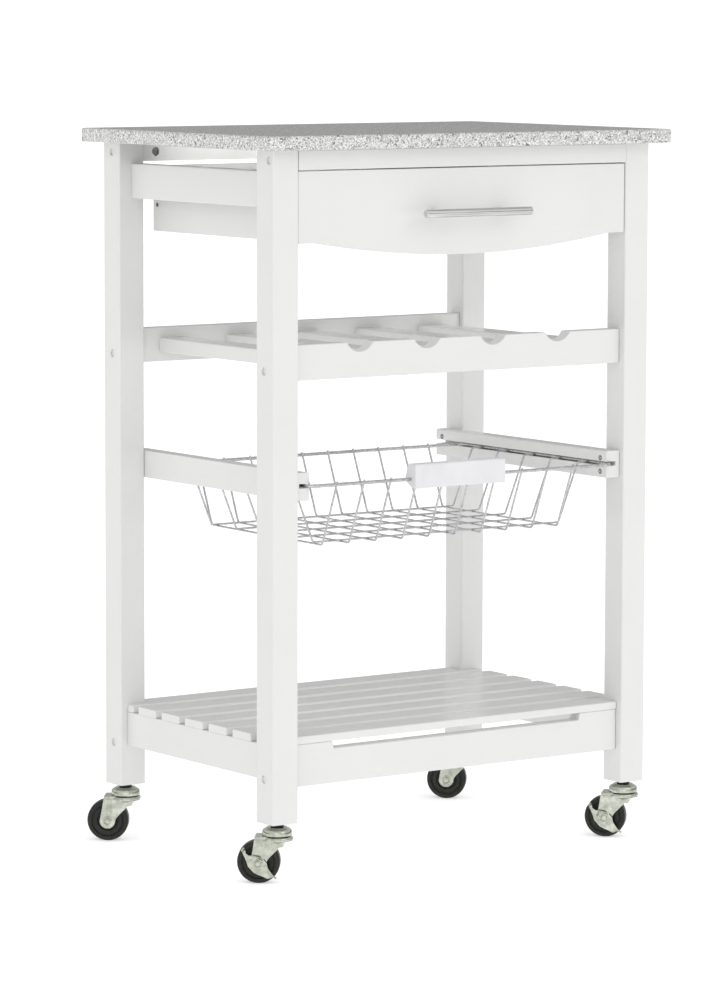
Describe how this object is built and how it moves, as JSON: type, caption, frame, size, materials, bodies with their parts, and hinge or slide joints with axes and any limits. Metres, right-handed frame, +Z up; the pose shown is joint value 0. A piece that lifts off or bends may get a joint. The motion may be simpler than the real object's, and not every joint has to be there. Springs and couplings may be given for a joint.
{
  "type": "rolling utility cart",
  "caption": "Kitchen utility cart on casters: stone-look worktop, bow-front drawer, bottle rack, sliding wire basket and slatted bottom shelf in a white wooden frame.",
  "frame": {"origin": "on the floor below the middle of the worktop", "axes": "+Z up; X across the cart; -Y is the front, where the drawer and the basket pull out"},
  "size_m": [0.5923, 0.4105, 0.86],
  "materials": {
    "lacquer": "white semi-gloss lacquer over solid wood",
    "granite": "speckled grey and white granite, satin polish",
    "brushed_steel": "brushed along the bar",
    "zinc": "bright zinc plate with a faint yellow-green passivation",
    "bright_wire": "bright plated wire",
    "wheel_plastic": "hard black plastic with turned rings",
    "grip_plastic": "white moulded plastic"
  },
  "bodies": {
    "frame": {"worktop": "granite", "leg_front_left": "lacquer", "leg_front_right": "lacquer", "leg_back_left": "lacquer", "leg_back_right": "lacquer", "top_rail_front": "lacquer", "top_rail_back": "lacquer", "rack_rail_front": "lacquer", "rack_rail_back": "lacquer", "rack_slat_1": "lacquer", "rack_slat_2": "lacquer", "rack_slat_3": "lacquer", "rack_slat_4": "lacquer", "rack_slat_5": "lacquer", "runner_left": "lacquer", "runner_right": "lacquer", "shelf_rail_front": "lacquer", "shelf_rail_back": "lacquer", "shelf_side_left": "lacquer", "shelf_side_right": "lacquer", "shelf_slat_1": "lacquer", "shelf_slat_2": "lacquer", "shelf_slat_3": "lacquer", "shelf_slat_4": "lacquer", "shelf_slat_5": "lacquer", "shelf_slat_6": "lacquer", "shelf_slat_7": "lacquer", "drawer_support_left": "lacquer", "drawer_support_right": "lacquer", "slide_fixed_left": "zinc", "slide_fixed_right": "zinc", "caster_front_left_head": "zinc", "caster_front_right_head": "zinc", "caster_back_left_head": "zinc", "caster_back_right_head": "zinc"},
    "drawer": {"drawer_front": "lacquer", "drawer_side_left": "lacquer", "drawer_side_right": "lacquer", "drawer_back": "lacquer", "drawer_bottom": "lacquer", "drawer_handle": "brushed_steel", "slide_moving_left": "zinc", "slide_moving_right": "zinc"},
    "basket": {"basket_wire": "bright_wire", "basket_grip": "grip_plastic"},
    "caster_front_left_swivel": {"caster_front_left_fork": "zinc", "caster_front_left_axle": "zinc"},
    "caster_front_left_rolling_wheel": {"caster_front_left_wheel": "wheel_plastic"},
    "caster_front_left_brake_lever": {"caster_front_left_brake": "zinc"},
    "caster_front_right_swivel": {"caster_front_right_fork": "zinc", "caster_front_right_axle": "zinc"},
    "caster_front_right_rolling_wheel": {"caster_front_right_wheel": "wheel_plastic"},
    "caster_front_right_brake_lever": {"caster_front_right_brake": "zinc"},
    "caster_back_left_swivel": {"caster_back_left_fork": "zinc", "caster_back_left_axle": "zinc"},
    "caster_back_left_rolling_wheel": {"caster_back_left_wheel": "wheel_plastic"},
    "caster_back_right_swivel": {"caster_back_right_fork": "zinc", "caster_back_right_axle": "zinc"},
    "caster_back_right_rolling_wheel": {"caster_back_right_wheel": "wheel_plastic"}
  },
  "joints": [
    {"name": "drawer_pull", "type": "slide", "parent": "frame", "child": "drawer", "axis": [0, -1, 0], "range_m": [0, 0.2]},
    {"name": "basket_pull", "type": "slide", "parent": "frame", "child": "basket", "axis": [0, -1, 0], "range_m": [0, 0.19]},
    {"name": "caster_front_left_turn", "type": "hinge", "parent": "frame", "child": "caster_front_left_swivel", "pos_m": [-0.255, -0.1625, 0.0534], "axis": [0, 0, 1], "continuous": true},
    {"name": "caster_front_left_roll", "type": "hinge", "parent": "caster_front_left_swivel", "child": "caster_front_left_rolling_wheel", "pos_m": [-0.27155, -0.14957, 0.025], "axis": [-0.6157, -0.788, 0], "continuous": true},
    {"name": "caster_front_left_brake_press", "type": "hinge", "parent": "caster_front_left_swivel", "child": "caster_front_left_brake_lever", "pos_m": [-0.27155, -0.14957, 0.025], "axis": [-0.6157, -0.788, 0], "range_deg": [0, 15]},
    {"name": "caster_front_right_turn", "type": "hinge", "parent": "frame", "child": "caster_front_right_swivel", "pos_m": [0.255, -0.1625, 0.0534], "axis": [0, 0, 1], "continuous": true},
    {"name": "caster_front_right_roll", "type": "hinge", "parent": "caster_front_right_swivel", "child": "caster_front_right_rolling_wheel", "pos_m": [0.24041, -0.14739, 0.025], "axis": [-0.7193, -0.6947, 0], "continuous": true},
    {"name": "caster_front_right_brake_press", "type": "hinge", "parent": "caster_front_right_swivel", "child": "caster_front_right_brake_lever", "pos_m": [0.24041, -0.14739, 0.025], "axis": [-0.7193, -0.6947, 0], "range_deg": [0, 15]},
    {"name": "caster_back_left_turn", "type": "hinge", "parent": "frame", "child": "caster_back_left_swivel", "pos_m": [-0.255, 0.1625, 0.0534], "axis": [0, 0, 1], "continuous": true},
    {"name": "caster_back_left_roll", "type": "hinge", "parent": "caster_back_left_swivel", "child": "caster_back_left_rolling_wheel", "pos_m": [-0.27155, 0.17543, 0.025], "axis": [-0.6157, -0.788, 0], "continuous": true},
    {"name": "caster_back_right_turn", "type": "hinge", "parent": "frame", "child": "caster_back_right_swivel", "pos_m": [0.255, 0.1625, 0.0534], "axis": [0, 0, 1], "continuous": true},
    {"name": "caster_back_right_roll", "type": "hinge", "parent": "caster_back_right_swivel", "child": "caster_back_right_rolling_wheel", "pos_m": [0.23915, 0.17628, 0.025], "axis": [-0.6561, -0.7547, 0], "continuous": true}
  ]
}
